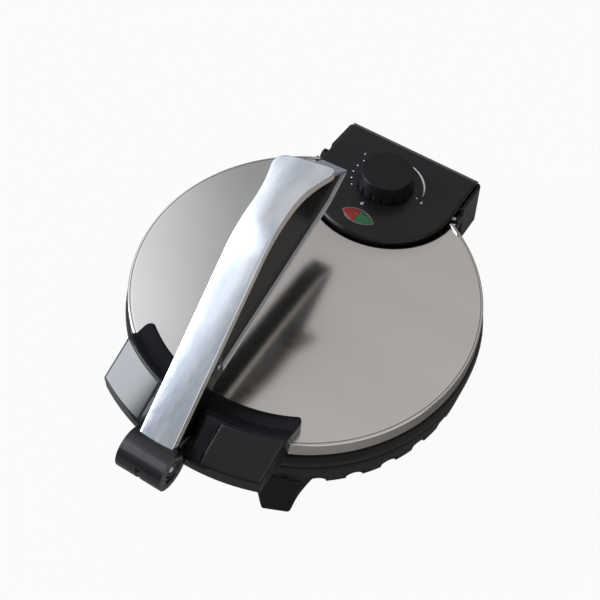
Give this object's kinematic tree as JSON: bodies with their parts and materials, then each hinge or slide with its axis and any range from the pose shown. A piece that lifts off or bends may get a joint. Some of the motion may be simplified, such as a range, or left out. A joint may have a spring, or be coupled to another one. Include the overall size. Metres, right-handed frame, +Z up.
{
  "type": "electric roti maker",
  "caption": "Round tabletop flatbread press with a hinged steel lid, a long lever over it, a front handle, a thermostat knob and short splayed legs.",
  "frame": {"origin": "on the table under the middle of the overall box, 8.2 mm in front of the lid's axis", "axes": "+X to the right, +Y to the back, where the control housing is, +Z up"},
  "size_m": [0.31, 0.4124, 0.22],
  "materials": {
    "case_plastic": "fine satin",
    "gloss_plastic": "gloss",
    "panel_plastic": "satin",
    "lid_steel": "satin",
    "plate_aluminium": "dark non-stick coat",
    "lever_aluminium": "polished",
    "lever_shell": "satin pearl",
    "trim_metal": "satin chrome",
    "small_steel": "zinc plated",
    "tinplate": "bright tin",
    "red_lens": "clear gloss",
    "green_lens": "clear gloss",
    "rubber": "matt",
    "electrical": "cream moulded"
  },
  "bodies": {
    "base": {"base_shell": "case_plastic", "base_cover": "case_plastic", "front_leg_left": "case_plastic", "front_leg_right": "case_plastic", "rear_leg_left": "case_plastic", "rear_leg_right": "case_plastic", "foot_pads": "rubber", "lower_plate": "plate_aluminium", "lower_element": "tinplate", "lower_reflector": "tinplate", "plate_posts": "small_steel", "control_housing": "case_plastic", "control_panel": "panel_plastic", "thermostat_body": "electrical", "red_lens": "red_lens", "green_lens": "green_lens", "lens_bezel": "trim_metal", "pilot_lamps": "electrical", "terminal_block": "electrical", "thermal_fuse": "electrical", "cord_gland": "rubber", "hinge_pins": "small_steel", "base_screws": "small_steel"},
    "lid": {"lid_cover": "lid_steel", "lid_frame": "case_plastic", "upper_plate": "plate_aluminium", "upper_element": "tinplate", "upper_reflector": "tinplate", "lid_posts": "small_steel", "front_handle": "case_plastic", "grip_pad_left": "gloss_plastic", "grip_pad_right": "gloss_plastic", "lever_lug": "small_steel", "lid_screws": "small_steel"},
    "lever": {"lever_top_shell": "lever_aluminium", "lever_lower_shell": "lever_shell", "lever_body_left": "gloss_plastic", "lever_body_right": "gloss_plastic", "lever_trim_left": "trim_metal", "lever_trim_right": "trim_metal", "lever_rear_plate": "trim_metal", "lever_pin": "small_steel", "lever_side_pin": "small_steel", "lever_caps": "gloss_plastic", "lever_screws": "small_steel"},
    "knob": {"thermostat_knob": "panel_plastic", "knob_cap": "panel_plastic", "knob_shaft": "small_steel"}
  },
  "joints": [
    {"name": "lid_hinge", "type": "hinge", "parent": "base", "child": "lid", "pos_m": [0, 0.14971, 0.09], "axis": [-1, 0, 0], "range_deg": [0, 90]},
    {"name": "lever_swing", "type": "hinge", "parent": "lid", "child": "lever", "pos_m": [0, -0.18879, 0.102], "axis": [0.9969, 0.0785, 0], "range_deg": [0, 135]},
    {"name": "knob_turn", "type": "hinge", "parent": "base", "child": "knob", "pos_m": [0, 0.13921, 0.105], "axis": [0, 0, -1], "range_deg": [0, 270]}
  ]
}
